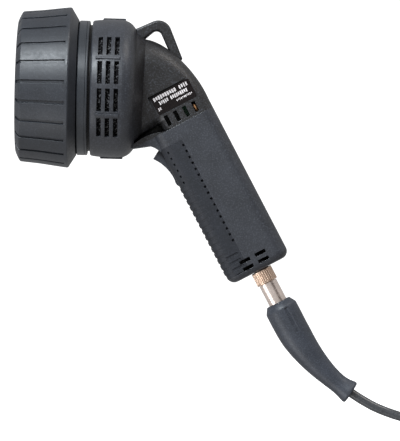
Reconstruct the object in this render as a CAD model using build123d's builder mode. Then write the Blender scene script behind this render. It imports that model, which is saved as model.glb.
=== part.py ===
from build123d import *
import os
from math import cos, pi, radians, sin, tan

# Hand-held inspection lamp with a fan-cooled LED head and a pistol grip.
# Millimetres, +Z up. The beam points along -X and the lamp is symmetric about Y = 0.
# The origin is the middle of the grip, on the axis of the handle.

# ---- driving dimensions ----
grip_angle = 61.0          # handle axis below the beam axis, degrees
grip_centre = 85.0         # from the elbow to the middle of the grip
wall = 2.6                 # thickness of the two housing halves

bumper_front = 112.5       # stations along the beam, measured forward from the elbow
bumper_rear = 67.5
bumper_radius = 60.2
bumper_bore = 47.6
collar_front = 109.5
collar_rear = 59.0
collar_radius = 50.5
collar_bore = 44.3
housing_front = 56.8
housing_radius = 51.8
head_back = 24.0

handle_back = -24.2        # offsets from the handle axis, positive towards the trigger
handle_front = 25.6
handle_width = 42.0
handle_corner = 10.0
neck_front = 16.5
handle_top = 27.3          # distances down the handle from the elbow
handle_bottom = 151.5

pad_rear = 7.6             # rear edge of the grip pad, as an offset
pad_top = 38.0
pad_bottom = 147.0
pad_thickness = 1.6
rib_pitch = 5.0
rib_height = 0.55

trigger_width = 16.0
pivot_down = 64.5
pivot_offset = 21.0
pin_radius = 1.5
running_gap = 0.06

plunger_down = 44.0
switch_face = 13.0

ring_start = 152.0         # plug pieces, distances down the handle axis
ring_end = 162.6
ring_radius = 8.1
ring_bore = 5.72
shell_radius = 7.0
socket_radius = 6.4
boot_start = 179.5
bend_start = 198.0
bend_radius = 139.0
bend_turn = 28.5           # degrees that the strain relief turns through
boot_end_radius = 8.8

cord_diameter = 7.0
floor_height = -174.4      # surface that the coiled lead lies on
tie_thickness = 0.9
coil_turn_radius = 38.5    # middle of the turns
coil_bands = 3             # turns side by side in a layer
coil_layers = 2
coil_centre = (194.0, 36.0)

# ---- frame ----
down = Vector(cos(radians(grip_angle)), 0, -sin(radians(grip_angle)))
front = Vector(-sin(radians(grip_angle)), 0, -cos(radians(grip_angle)))
elbow = down * -grip_centre
forward = Vector(-1, 0, 0)
beam_axis = Axis(elbow, forward)
beam_section = Plane(origin=elbow, x_dir=forward, z_dir=(0, 1, 0))
beam_plane = Plane(origin=elbow, x_dir=(0, 0, 1), z_dir=forward)
handle_plane = Plane(origin=elbow, x_dir=front, z_dir=down)
handle_side = Plane(origin=elbow, x_dir=front, z_dir=(0, -1, 0))

os.makedirs("parts", exist_ok=True)


def save(piece, name):
    """Labels a finished piece and writes its STEP file."""
    piece.part.label = name
    export_step(piece.part, "parts/" + name + ".step")


def beside_handle(offset, distance, across=0.0):
    """Point at an offset and a distance down the handle."""
    return elbow + front * offset + down * distance + Vector(0, across, 0)


def beside_beam(station, height, across=0.0):
    """Point at a station along the beam and a height above it."""
    return elbow + forward * station + Vector(0, across, height)


def neck_plane(top, bottom):
    """Plane through two points of the side view, square to the symmetry plane."""
    rise = top - bottom
    return Plane(origin=(top + bottom) / 2, x_dir=rise, z_dir=rise.cross(Vector(0, 1, 0)))


def turned(profile):
    """Solid of revolution about the beam, from (station, radius) corners."""
    with BuildPart() as blank:
        with BuildSketch(beam_section):
            with BuildLine():
                Polyline(*profile, close=True)
            make_face()
        revolve(axis=beam_axis)
    return blank.part


def handle_box(offsets, distances, widths):
    """Block between two offsets, two distances down the handle and two Y values."""
    with BuildPart() as block:
        with BuildSketch(handle_plane.offset(distances[0])):
            with Locations(((offsets[0] + offsets[1]) / 2, (widths[0] + widths[1]) / 2)):
                Rectangle(offsets[1] - offsets[0], widths[1] - widths[0])
        extrude(amount=distances[1] - distances[0])
    return block.part


def cross_rod(offset, distance, radius, start, end):
    """Round rod across the handle, from one Y value to another."""
    with BuildPart() as rod:
        with BuildSketch(Plane(origin=beside_handle(offset, distance, start), z_dir=(0, 1, 0))):
            Circle(radius)
        extrude(amount=end - start)
    return rod.part


# ---- outer form of the housing, and the same form inset by the wall ----
# Sections: top and bottom in the side view, width, corner radius. A short flare joins the
# round head to the flat-sided neck, which then curves into the handle.
head_section = (beside_beam(head_back + 1.5, 43.5), beside_beam(head_back + 1.5, -43.5), 87.0, 43.0)
neck_sections = [
    (beside_beam(17.0, 37.4), beside_beam(18.5, -35.0), 47.0, 19.0),
    (beside_beam(2.0, 31.5), beside_beam(9.5, -29.0), 44.6, 17.0),
    (beside_beam(-16.0, 16.0), beside_beam(6.5, -26.5), 43.0, 13.0),
    (beside_handle(handle_back, 20.0), beside_handle(neck_front, 20.0), handle_width, handle_corner),
]


def housing_form(inset):
    """Solid of the whole housing, shrunk by an inset; an inset one also runs out of the open front."""
    open_front = 6.0 if inset else 0.0
    with BuildPart() as form:
        with BuildSketch(beam_section):
            with BuildLine():
                Line((head_back + inset, 0), (head_back + inset, 43.5 - inset))
                ThreePointArc((head_back + inset, 43.5 - inset), (27.6, 48.6 - inset),
                              (33.5, housing_radius - 0.3 - inset))
                ThreePointArc((33.5, housing_radius - 0.3 - inset), (43, housing_radius - inset),
                              (housing_front - 1, 50.7 - inset))
                Polyline((housing_front - 1, 50.7 - inset), (housing_front + open_front, 50.0 - inset),
                         (housing_front + open_front, 0), (head_back + inset, 0))
            make_face()
        revolve(axis=beam_axis)
        for sections in ([head_section, neck_sections[0]], neck_sections):
            for top, bottom, width, corner in sections:
                height = (top - bottom).length - 2 * inset
                with BuildSketch(neck_plane(top, bottom)):
                    RectangleRounded(height, width - 2 * inset, corner - inset)
            loft()
        with BuildSketch(handle_plane.offset(19)):
            with Locations(((handle_back + neck_front) / 2, 0)):
                RectangleRounded(neck_front - handle_back - 2 * inset, handle_width - 2 * inset,
                                 handle_corner - inset)
        extrude(amount=20)
        with BuildSketch(handle_plane.offset(handle_top + inset)):
            with Locations(((handle_back + handle_front) / 2, 0)):
                RectangleRounded(handle_front - handle_back - 2 * inset, handle_width - 2 * inset,
                                 handle_corner - inset)
        extrude(amount=handle_bottom - handle_top - 2 * inset)
        fillet(form.faces().sort_by(Axis((0, 0, 0), down))[-1].edges(), 6.0 - inset)
    return form.part


def strap_outline():
    """Finger strap from the bottom of the head to the top of the trigger."""
    with BuildPart() as strap:
        with BuildSketch(handle_side):
            with BuildLine():
                Polyline((12, 27.3), (15, 27.3), (22.8, 24.7))
                ThreePointArc((22.8, 24.7), (32, 23.6), (41.5, 24.6))
                Polyline((41.5, 24.6), (47, 21), (47, 25), (43.2, 27.2))
                ThreePointArc((43.2, 27.2), (35.2, 30), (30.6, 31.6))
                ThreePointArc((30.6, 31.6), (28.2, 34.6), (26.0, 39))
                Polyline((26.0, 39), (12, 39), (12, 27.3))
            make_face()
        extrude(amount=14.5, both=True)
    return strap.part


# Pad that wraps round the front of the handle, without its ribs.
with BuildPart() as pad_blank:
    with BuildSketch(handle_plane.offset(pad_top)):
        with Locations(((handle_back + handle_front) / 2, 0)):
            RectangleRounded(handle_front - handle_back, handle_width, handle_corner)
            RectangleRounded(handle_front - handle_back - 2 * pad_thickness,
                             handle_width - 2 * pad_thickness,
                             handle_corner - pad_thickness, mode=Mode.SUBTRACT)
        with Locations((pad_rear - 50, 0)):
            Rectangle(100, 60, mode=Mode.SUBTRACT)
    extrude(amount=pad_bottom - pad_top)

trigger_slot = handle_box((13.5, 40), (35.4, 70.4), (-trigger_width / 2 - 0.4, trigger_width / 2 + 0.4))

# Vent slots round the head: three columns, four rows on each side.
vent_columns = (37.6, 43.8, 50.0)
vent_width = 3.4
vent_rows = ((27.0, 46.0), (1.9, 21.3), (-21.3, -1.9), (-46.0, -27.0))
with BuildPart() as head_vents:
    for low, high in vent_rows:
        for start in (high - 90, 90 - low):
            with BuildSketch(beam_section.rotated((start, 0, 0))):
                with Locations(*[(column, 51) for column in vent_columns]):
                    Rectangle(vent_width, 12)
            revolve(axis=beam_axis, revolution_arc=high - low)

# Raised ridges between the vent rows, and shorter ones at the top and bottom of the head.
side_ridge = (44.1, 18.2)   # middle station and length
end_ridge = (40.9, 17.0)
with BuildPart() as head_ridges:
    for angles, (middle, length) in (((65.9, 114.1, 245.9, 294.1), side_ridge), ((0, 180), end_ridge)):
        for angle in angles:
            with BuildSketch(beam_section.rotated((angle, 0, 0))):
                with Locations((middle, 50.9)):
                    RectangleRounded(length, 3.6, 0.8)
            extrude(amount=0.9, both=True)

# Slots through the two sides of the handle: four under the label and four at the butt.
slot_inner = 12.0           # distance from the middle plane at which the cuts start
slot_reach = 28.0
with BuildPart() as handle_slots:
    for start in (slot_inner, -slot_inner - slot_reach):
        with BuildSketch(handle_side.offset(start)):
            with Locations((-1.0, 20.9)):
                with GridLocations(7.6, 0, 4, 1):
                    Rectangle(3.1, 8.2)
            with Locations((1.3, 142.8)):
                with GridLocations(12.8, 5.6, 2, 2):
                    Rectangle(8.6, 2.6)
        extrude(amount=slot_reach)

# Label, and the flat recess that holds it and the slots below it.
label_face = 20.2
label_offsets = (-17.4, 14.4)
label_distances = (-0.4, 14.6)
label_thickness = 0.4
recess_offsets = (-18.4, 16.2)
recess_start = -1.0
backing = 1.8               # extra thickness behind the recess
screw_places = [
    beside_beam(31.0, 41.5), beside_beam(31.0, -41.5), beside_handle(8.0, 32.5),
    beside_handle(12.0, 78.0), beside_handle(12.0, 116.0), beside_handle(-13.5, 130.0),
]
screw_radius = 1.45
screw_head_radius = 2.8
screw_head_height = 2.0
screw_faces = [18.0, 18.0, 17.0, 17.0, 17.0, 17.0]     # Y of the underside of each head
boss_radius = 3.6

outer_form = housing_form(0)

# Everything moulded inside the housing: shelf, bosses, board posts, the backing of the recess
# and a partition behind each group of slots.
board_offsets = (-17.5, 0.5)
board_distances = (12.0, 108.0)
board_faces = (-5.6, -4.0)
post_places = [(-8.0, 34.0), (-8.0, 96.0)]
neck_partition = ((12, 32), (0.4, 1.8))        # distances and Y faces of each partition
butt_partition = ((135, 150), (8.6, 10.2))
with BuildPart() as inside_features:
    add(handle_box((1.4, 3.0), (38, 62), (-21, 21)))
    for side in (-1, 1):
        add(cross_rod(pivot_offset, pivot_down, 4.0, side * (trigger_width / 2 + 0.4), side * 21))
    for place in screw_places:
        with BuildSketch(Plane(origin=place - Vector(0, 30, 0), z_dir=(0, 1, 0))):
            Circle(boss_radius)
        extrude(amount=60)
    for out, distance in post_places:
        add(cross_rod(out, distance, 2.5, -21, board_faces[0]))
    for side in (-1, 1):
        low, high = sorted((side * (label_face - backing), side * (label_face + 1)))
        add(handle_box((recess_offsets[0] - 1, recess_offsets[1] + 1), (recess_start - 1.5, 28),
                       (low, high)))
    for distances, faces in (neck_partition, butt_partition):
        add(handle_box((-24, 25), distances, faces))
    add(outer_form, mode=Mode.INTERSECT)

with BuildPart() as screw_holes:
    for place, face in zip(screw_places, screw_faces):
        with BuildSketch(Plane(origin=place - Vector(0, 12, 0), z_dir=(0, 1, 0))):
            Circle(screw_radius)
        extrude(amount=12 + face)
        with BuildSketch(Plane(origin=place + Vector(0, face, 0), z_dir=(0, 1, 0))):
            Circle(screw_head_radius)
        extrude(amount=40)

with BuildPart() as housing:
    add(outer_form)
    add(strap_outline())
    add(handle_box((10, 40.5), (4, 28), (-2.5, 2.5)))
    add(head_ridges.part)
    add(housing_form(wall), mode=Mode.SUBTRACT)
    add(inside_features.part)
    add(head_vents.part, mode=Mode.SUBTRACT)
    add(handle_slots.part, mode=Mode.SUBTRACT)
    add(pad_blank.part, mode=Mode.SUBTRACT)
    # recessed flat for the label and the slots, on both sides
    for side in (-1, 1):
        low, high = sorted((side * label_face, side * 40))
        add(handle_box(recess_offsets, (recess_start, handle_top), (low, high)), mode=Mode.SUBTRACT)
    add(trigger_slot, mode=Mode.SUBTRACT)
    add(cross_rod(pivot_offset, pivot_down, pin_radius, -12, 12), mode=Mode.SUBTRACT)
    add(screw_holes.part, mode=Mode.SUBTRACT)
    # hole for the power socket
    with BuildSketch(handle_plane.offset(handle_bottom - 8)):
        Circle(socket_radius)
    extrude(amount=12, mode=Mode.SUBTRACT)

loop_width = 15.0
with BuildPart() as hanging_loop:
    with BuildSketch(beam_section):
        with BuildLine():
            outer_arch = FilletPolyline((26.0, 41.2), (24.8, 45.0), (2.7, 55.3), (-10.6, 23.8),
                                        (-9.0, 21.4), radius=(0.8, 10.0, 0.8))
            Line(outer_arch @ 1, (-1.2, 27.2))
            inner_arch = FilletPolyline((-1.2, 27.2), (1.4, 32.6), (7.9, 46.3), (17.6, 38.0),
                                        (18.4, 34.6), radius=(1.0, 4.0, 1.0))
            Line(inner_arch @ 1, (26.0, 41.2))
        make_face()
    extrude(amount=loop_width / 2, both=True)
    fillet(hanging_loop.edges().filter_by(GeomType.CIRCLE).filter_by(lambda e: e.radius > 3), 1.6)
save(hanging_loop, "hanging_loop")

for name, keep in (("left_shell", Keep.TOP), ("right_shell", Keep.BOTTOM)):
    with BuildPart() as half:
        add(housing.part)
        add(hanging_loop.part, mode=Mode.SUBTRACT)
        split(bisect_by=Plane.XZ, keep=keep)
    save(half, name)

# ---- head, from the front backwards ----
groove_count = 24
groove_depth = 1.0
groove_angle = 3.5
bumper_skin = [(75.6, 59.9), (84.0, 58.9), (96.0, 57.4), (109.0, 56.2), (113.0, 49.2)]
with BuildPart() as bumper_grooves:
    for number in range(groove_count):
        start = number * 360 / groove_count + 2 + groove_angle / 2
        with BuildSketch(beam_section.rotated((start, 0, 0))):
            with BuildLine():
                Polyline(*[(station, radius - groove_depth) for station, radius in bumper_skin],
                         (115, 64), (75.6, 64), close=True)
            make_face()
        revolve(axis=beam_axis, revolution_arc=groove_angle)

with BuildPart() as bumper_ring:
    add(turned([(bumper_front, 44.5), (bumper_front, 50.0), (109.0, 56.2), (96.0, 57.4), (84.0, 58.9),
                (73.0, bumper_radius), (bumper_rear, 51.2), (bumper_rear, bumper_bore),
                (collar_front + 0.1, bumper_bore), (collar_front + 0.1, 44.5)]))
    add(bumper_grooves.part, mode=Mode.SUBTRACT)
save(bumper_ring, "bumper_ring")

with BuildPart() as head_collar:
    add(turned([(52.8, collar_bore), (52.8, 47.3), (collar_rear, 47.3), (collar_rear, 50.0),
                (collar_rear + 0.6, collar_radius), (60.6, collar_radius), (60.8, 50.1),
                (61.0, collar_radius), (66.2, collar_radius), (66.8, 50.0), (66.8, 47.5),
                (collar_front, 47.5), (collar_front, 42.0), (107.8, 42.0), (107.8, collar_bore)]))
save(head_collar, "head_collar")

with BuildPart() as lens_window:
    add(turned([(104.6, 0), (104.6, 44.2), (107.3, 44.2), (107.8, 43.7), (107.8, 0)]))
save(lens_window, "lens_window")

with BuildPart() as lens_gasket:
    add(turned([(103.2, 41.5), (103.2, 44.2), (104.6, 44.2), (104.6, 41.5)]))
save(lens_gasket, "lens_gasket")

# ---- light source: three large cups round a small one, with an emitter in each ----
cup_circle = 22.0
board_front = 81.6
reflector_back = 100.6
reflector_front = 103.2
cup_places = [(0, 0)] + [(cup_circle * cos(radians(turn)), cup_circle * sin(radians(turn)))
                         for turn in (0, 120, 240)]


def cup(place, back, mouth, mouth_station):
    """Tapered round cup that opens forward."""
    with BuildPart() as cone:
        for station, radius in ((board_front, back), (mouth_station, mouth)):
            with BuildSketch(beam_plane.offset(station)):
                with Locations(place):
                    Circle(radius)
        loft()
    return cone.part


with BuildPart() as reflector_cluster:
    with BuildSketch(beam_plane.offset(reflector_back)):
        Circle(43.8)
    extrude(amount=reflector_front - reflector_back)
    for place in cup_places:
        back, mouth = (5.0, 6.2) if place == (0, 0) else (6.4, 17.4)
        add(cup(place, back, mouth, reflector_back + 0.5))
    for place in cup_places:
        back, mouth = (3.8, 5.0) if place == (0, 0) else (5.2, 16.4)
        add(cup(place, back, mouth, reflector_front), mode=Mode.SUBTRACT)
save(reflector_cluster, "reflector_cluster")

with BuildPart() as led_board:
    with BuildSketch(beam_plane.offset(board_front - 1.6)):
        Circle(43.5)
    extrude(amount=1.6)
save(led_board, "led_board")


def emitters(places, base, dome):
    """Square packages on the board, each with a domed lens."""
    with BuildPart() as group:
        for place in places:
            with BuildSketch(beam_plane.offset(board_front)):
                with Locations(place):
                    Rectangle(base, base)
            extrude(amount=1.0)
            with BuildSketch(beam_plane.offset(board_front + 1.0)):
                with Locations(place):
                    Circle(dome)
            extrude(amount=1.2, taper=35)
    return group


uv_leds = emitters(cup_places[1:], 7.0, 3.0)
save(uv_leds, "uv_leds")
white_led = emitters(cup_places[:1], 4.6, 1.8)
save(white_led, "white_led")

# ---- cooling: finned heat sink with a fan behind it ----
sink_front = board_front - 1.6
sink_back = 58.0
sink_radius = 43.8
fin_pitch = 6.4
fin_gap = 4.0
with BuildPart() as heat_sink:
    with BuildSketch(beam_plane.offset(sink_back)):
        Circle(sink_radius)
    extrude(amount=sink_front - sink_back)
    with BuildSketch(beam_plane.offset(sink_back)):
        with GridLocations(0, fin_pitch, 1, 14):
            Rectangle(100, fin_gap)
    extrude(amount=sink_front - sink_back - 5, mode=Mode.SUBTRACT)
save(heat_sink, "heat_sink")

fan_back = 43.0
fan_size = 60.0
fan_bore = 28.5
hub_radius = 11.0
with BuildPart() as fan_frame:
    with BuildSketch(beam_plane.offset(fan_back)):
        RectangleRounded(fan_size, fan_size, 3)
        Circle(fan_bore, mode=Mode.SUBTRACT)
        with GridLocations(50, 50, 2, 2):
            Circle(2.1, mode=Mode.SUBTRACT)
    extrude(amount=sink_back - fan_back)
    with BuildSketch(beam_plane.offset(fan_back)):
        Circle(hub_radius)
        with PolarLocations(20, 4, 45):
            Rectangle(20, 3)
    extrude(amount=2.4)
    with BuildSketch(beam_plane.offset(fan_back + 2.4)):
        Circle(pin_radius)
    extrude(amount=9)
save(fan_frame, "fan_frame")

with BuildPart() as fan_rotor:
    with BuildSketch(beam_plane.offset(fan_back + 2.8)):
        Circle(hub_radius)
    extrude(amount=11)
    with BuildSketch(beam_plane.offset(fan_back + 2.8)):
        Circle(pin_radius + running_gap)
    extrude(amount=9, mode=Mode.SUBTRACT)
    with Locations(beam_plane.offset(fan_back + 8.3)):
        with PolarLocations(19, 7):
            Box(16.4, 1.3, 11.5, rotation=(38, 0, 0))
save(fan_rotor, "fan_rotor")

with BuildPart() as vent_foam:
    add(turned([(35.6, 47.0), (35.6, 48.3), (52.4, 48.3), (52.4, 47.0)]))
save(vent_foam, "vent_foam")

# ---- grip pad: three-sided cover with ribs down the front and notched edges ----
rib_first = 72.0
rib_count = 15
band_first = 130.0
notch_count = 17
front_notch_count = 6
notch_depth = 1.3
front_notch_width = 36.4    # across the bottoms of the front notches, where the corner curves in
groove_below = 0.6
with BuildPart() as grip_pad:
    add(pad_blank.part)
    for number in range(rib_count):
        with BuildSketch(handle_plane.offset(rib_first + number * rib_pitch - 1.5)):
            with Locations(((handle_back + handle_front + rib_height) / 2, 0)):
                RectangleRounded(handle_front + rib_height - handle_back, handle_width, handle_corner)
                RectangleRounded(handle_front + rib_height - handle_back - 4, handle_width - 2,
                                 handle_corner - 1, mode=Mode.SUBTRACT)
            with Locations((-36, 0)):
                Rectangle(100, 60, mode=Mode.SUBTRACT)
        extrude(amount=3.0)
    # side panels: notches beside both edges, and grooves below
    for side in (-1, 1):
        low, high = sorted((side * (handle_width / 2 - notch_depth), side * 30))
        for number in range(notch_count):
            distance = pad_top + 4.5 + number * rib_pitch
            add(handle_box((pad_rear, pad_rear + 1.8), (distance - 0.9, distance + 0.9), (low, high)),
                mode=Mode.SUBTRACT)
        low, high = sorted((side * front_notch_width / 2, side * 30))
        for number in range(front_notch_count):
            distance = pad_top + 4.5 + number * rib_pitch
            add(handle_box((20.6, 21.9), (distance - 0.9, distance + 0.9), (low, high)),
                mode=Mode.SUBTRACT)
        low, high = sorted((side * (handle_width / 2 - groove_below), side * 30))
        for number in range(4):
            distance = band_first + 1.5 + number * rib_pitch
            add(handle_box((pad_rear + 2, 22), (distance, distance + 2.0), (low, high)),
                mode=Mode.SUBTRACT)
    add(handle_slots.part, mode=Mode.SUBTRACT)
    add(trigger_slot, mode=Mode.SUBTRACT)
save(grip_pad, "grip_pad")

with BuildPart() as label_plate:
    add(handle_box(label_offsets, label_distances, (-label_face - label_thickness, -label_face)))
    fillet(label_plate.edges().filter_by(Axis.Y), 1.2)
save(label_plate, "label_plate")

# ---- trigger and switch ----
with BuildPart() as trigger:
    with BuildSketch(handle_side):
        with BuildLine():
            Polyline((18.0, 37.8), (27.4, 37.4), (33.4, 41.0))
            ThreePointArc((33.4, 41.0), (28.2, 50.5), (26.5, 63.0))
            ThreePointArc((26.5, 63.0), (25.6, 68.0), (21.0, 69.4))
            ThreePointArc((21.0, 69.4), (17.6, 68.0), (17.0, 65.0))
            Polyline((17.0, 65.0), (17.0, 38.8), (18.0, 37.8))
        make_face()
    extrude(amount=trigger_width / 2, both=True)
    add(cross_rod(pivot_offset, pivot_down, pin_radius + running_gap, -10, 10), mode=Mode.SUBTRACT)
save(trigger, "trigger")

with BuildPart() as trigger_pin:
    add(cross_rod(pivot_offset, pivot_down, pin_radius, -12, 12))
save(trigger_pin, "trigger_pin")

plunger_radius = 1.5
with BuildPart() as switch_body:
    add(handle_box((3.0, switch_face), (40.0, 60.0), (-3.2, 3.2)))
    with BuildSketch(Plane(origin=beside_handle(5.0, plunger_down), z_dir=front)):
        Circle(plunger_radius + running_gap)
    extrude(amount=20, mode=Mode.SUBTRACT)
save(switch_body, "switch_body")

with BuildPart() as switch_plunger:
    with BuildSketch(Plane(origin=beside_handle(8.4, plunger_down), z_dir=front)):
        Circle(plunger_radius)
    extrude(amount=8.3)
    fillet(switch_plunger.faces().sort_by(Axis((0, 0, 0), front))[-1].edges(), 0.5)
save(switch_plunger, "switch_plunger")

# ---- electronics in the handle ----
with BuildPart() as driver_board:
    add(handle_box(board_offsets, board_distances, board_faces))
save(driver_board, "driver_board")

ring_coil_radius = 3.9      # middle of the winding; the coil stands on edge behind the rear slot
ring_coil_wire = 1.8
coil_middle = beside_handle(-12.4, 21.2, board_faces[0] - ring_coil_radius - ring_coil_wire)
with BuildPart() as inductor_coil:
    with BuildSketch(Plane(origin=coil_middle, x_dir=down, z_dir=(0, 1, 0))):
        with Locations((ring_coil_radius, 0)):
            Circle(ring_coil_wire)
    revolve(axis=Axis(coil_middle, front))
save(inductor_coil, "inductor_coil")

with BuildPart() as board_components:
    for out, distance, radius in ((-3.5, 48, 4.0), (-12.5, 48, 4.0), (-3.5, 74, 3.2)):
        add(cross_rod(out, distance, radius, board_faces[0] - 10, board_faces[0]))
    for out, distance in ((-11, 62), (-11, 82), (-11, 22)):
        add(handle_box((out - 4, out + 4), (distance - 3, distance + 3),
                       (board_faces[1], board_faces[1] + 2.0)))
    add(handle_box((-15, -3), (100, 107), (board_faces[1], board_faces[1] + 7)))
save(board_components, "board_components")

with BuildPart() as case_screws:
    for place, face in zip(screw_places, screw_faces):
        with BuildSketch(Plane(origin=place + Vector(0, -11.5, 0), z_dir=(0, 1, 0))):
            Circle(screw_radius)
        extrude(amount=11.5 + face)
        with BuildSketch(Plane(origin=place + Vector(0, face, 0), z_dir=(0, 1, 0))):
            Circle(screw_head_radius - 0.1)
        extrude(amount=screw_head_height)
        with BuildSketch(Plane(origin=place + Vector(0, face + screw_head_height, 0), z_dir=(0, 1, 0))):
            Rectangle(3.4, 0.8)
            Rectangle(0.8, 3.4)
        extrude(amount=-1.2, mode=Mode.SUBTRACT)
save(case_screws, "case_screws")

# ---- power inlet and plug, along the handle axis ----


def along_handle(stages):
    """Round solid on the handle axis from (start, end, radius) stages."""
    with BuildPart() as rod:
        for start, end, radius in stages:
            with BuildSketch(handle_plane.offset(start)):
                Circle(radius)
            extrude(amount=end - start)
    return rod.part


nose_radius = ring_bore - 0.07
with BuildPart() as power_socket:
    add(along_handle([(136.0, ring_start - 0.3, socket_radius), (ring_start - 0.3, 159.0, nose_radius)]))
save(power_socket, "power_socket")

with BuildPart() as socket_nut:
    with BuildSketch(handle_plane.offset(handle_bottom - wall - 3.0)):
        RegularPolygon(9.4, 6)
        Circle(socket_radius, mode=Mode.SUBTRACT)
    extrude(amount=3.0)
save(socket_nut, "socket_nut")

knurl_count = 30
with BuildPart() as plug_ring:
    with BuildSketch(handle_plane.offset(ring_start)):
        Circle(ring_radius)
        Circle(ring_bore, mode=Mode.SUBTRACT)
    extrude(amount=ring_end - ring_start)
    chamfer(plug_ring.edges().filter_by(GeomType.CIRCLE).filter_by(lambda e: e.radius > 7), 0.5)
    with BuildSketch(handle_plane.offset(ring_start + 1.2)):
        with PolarLocations(ring_radius + 0.15, knurl_count):
            Circle(0.5)
    extrude(amount=ring_end - ring_start - 2.4, mode=Mode.SUBTRACT)
save(plug_ring, "plug_ring")

tail_radius = 5.0
tail_end = 192.0
with BuildPart() as plug_shell:
    add(along_handle([(159.3, ring_end + 0.3, nose_radius), (ring_end + 0.3, boot_start, shell_radius),
                      (boot_start, tail_end, tail_radius)]))
save(plug_shell, "plug_shell")

# ---- strain relief: straight, then an arc towards the horizontal, with a flared end ----
upward = -front
bend_origin = elbow + down * bend_start


def on_bend(length):
    """Point and direction on the arc of the strain relief."""
    turn = length / bend_radius
    point = bend_origin + (down * sin(turn) + upward * (1 - cos(turn))) * bend_radius
    return point, down * cos(turn) + upward * sin(turn)


bend_length = bend_radius * radians(bend_turn)
boot_stages = [(0, 12.3), (10, 12.1), (21, 11.1), (32, 9.8), (43, 8.5), (53, 7.6), (60, 7.4), (66, 8.5),
               (bend_length, boot_end_radius)]
with BuildPart() as strain_relief:
    for stage_start, stage_end, start_radius, end_radius in (
            (boot_start, 184.0, 9.4, 12.2), (184.0, bend_start, 12.2, 12.3)):
        with BuildSketch(handle_plane.offset(stage_start)):
            Circle(start_radius)
        with BuildSketch(handle_plane.offset(stage_end)):
            Circle(end_radius)
        loft()
    for length, radius in boot_stages:
        point, heading = on_bend(length)
        with BuildSketch(Plane(origin=point, x_dir=(0, 1, 0), z_dir=heading)):
            Circle(radius)
    loft()
    add(along_handle([(boot_start - 1, tail_end, tail_radius)]), mode=Mode.SUBTRACT)
save(strain_relief, "strain_relief")

# ---- lead: out of the strain relief, down to the surface and into a tied coil ----
exit_point, exit_heading = on_bend(bend_length)
lead_height = floor_height + tie_thickness + cord_diameter / 2
outer_turn = coil_turn_radius + cord_diameter * (coil_bands - 1) / 2
coil_x, coil_y = coil_centre
lead_points = [
    exit_point,
    exit_point + exit_heading * 16,
    Vector(132.5, -0.6, -164.0),
    Vector(151.5, -3.4, -168.7),
    Vector(172.6, -8.2, lead_height),
    Vector(coil_x, coil_y - outer_turn, lead_height),
]


def corner_radii(points):
    """Largest tangent arc that each corner's two runs allow."""
    radii = []
    for before, corner, after in zip(points, points[1:], points[2:]):
        turn = (corner - before).get_angle(after - corner)
        shorter = min((corner - before).length, (after - corner).length)
        radii.append(0.45 * shorter / tan(radians(turn / 2)))
    return radii


def lead_tube(points, name):
    """Round lead through the points, with tangent arcs at the corners."""
    radii = corner_radii(points)
    with BuildPart() as tube:
        with BuildLine():
            route = FilletPolyline(*points, radius=radii)
        with BuildSketch(Plane(origin=points[0], z_dir=points[1] - points[0])):
            Circle(cord_diameter / 2)
        sweep()
    expected = pi * cord_diameter ** 2 / 4 * route.length
    print(name, "radii", [round(radius) for radius in radii], "length", round(route.length, 1),
          "volume ratio", round(tube.part.volume / expected, 4))
    return tube.part


coil_height = cord_diameter * coil_layers
coil_inner = outer_turn - cord_diameter * (coil_bands - 0.5)
with BuildPart() as cord_coil:
    with BuildSketch(Plane.XY.offset(floor_height + tie_thickness)):
        with Locations(coil_centre):
            Circle(outer_turn + cord_diameter / 2)
            Circle(coil_inner, mode=Mode.SUBTRACT)
    extrude(amount=coil_height)
    fillet(cord_coil.edges(), 3.0)
save(cord_coil, "cord_coil")

with BuildPart() as power_cord:
    add(lead_tube(lead_points, "power_cord"))
    add(cord_coil.part, mode=Mode.SUBTRACT)
save(power_cord, "power_cord")

# The last part turn lies on top of the coil and ends in the plug of the supply side.
coil_top = floor_height + tie_thickness + coil_height
tail_circle = 40.5
tail_height = coil_top + cord_diameter / 2
plug_height = coil_top + ring_radius + 0.1
tail_heights = [coil_top - 3, tail_height - 1.5] + [tail_height] * 5 + [tail_height + 1.5, plug_height]
tail_points = []
for number, height in enumerate(tail_heights):
    angle = radians(-75 + 30 * number)
    tail_points.append(Vector(coil_x + tail_circle * cos(angle), coil_y + tail_circle * sin(angle), height))
plug_x = coil_x - tail_circle * cos(radians(15))
tail_points.append(Vector(plug_x, coil_y - 8, plug_height))
with BuildPart() as cord_tail:
    add(lead_tube(tail_points, "cord_tail"))
    add(cord_coil.part, mode=Mode.SUBTRACT)
save(cord_tail, "cord_tail")

# ---- supply-side plug, lying on the coil with its ring towards -Y ----
plug_stages = {"boot": 30.0, "shell": 14.0, "ring": 9.6}
plug_plane = Plane(origin=tail_points[-1], x_dir=(1, 0, 0), z_dir=(0, -1, 0))
supply_shell_start = plug_stages["boot"]
supply_ring_start = supply_shell_start + plug_stages["shell"] + 0.2
supply_ring_end = supply_ring_start + plug_stages["ring"]

with BuildPart() as supply_boot:
    with BuildSketch(plug_plane):
        Circle(5.0)
    with BuildSketch(plug_plane.offset(plug_stages["boot"])):
        Circle(8.0)
    loft()
save(supply_boot, "supply_boot")

with BuildPart() as supply_shell:
    with BuildSketch(plug_plane.offset(supply_shell_start)):
        Circle(shell_radius)
    extrude(amount=plug_stages["shell"])
    with BuildSketch(plug_plane.offset(supply_shell_start + plug_stages["shell"])):
        Circle(nose_radius)
    extrude(amount=6)
    with BuildSketch(plug_plane.offset(supply_shell_start + plug_stages["shell"] + 6)):
        with PolarLocations(3.2, 4, 45):
            Circle(0.6)
    extrude(amount=3)
save(supply_shell, "supply_shell")

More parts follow.
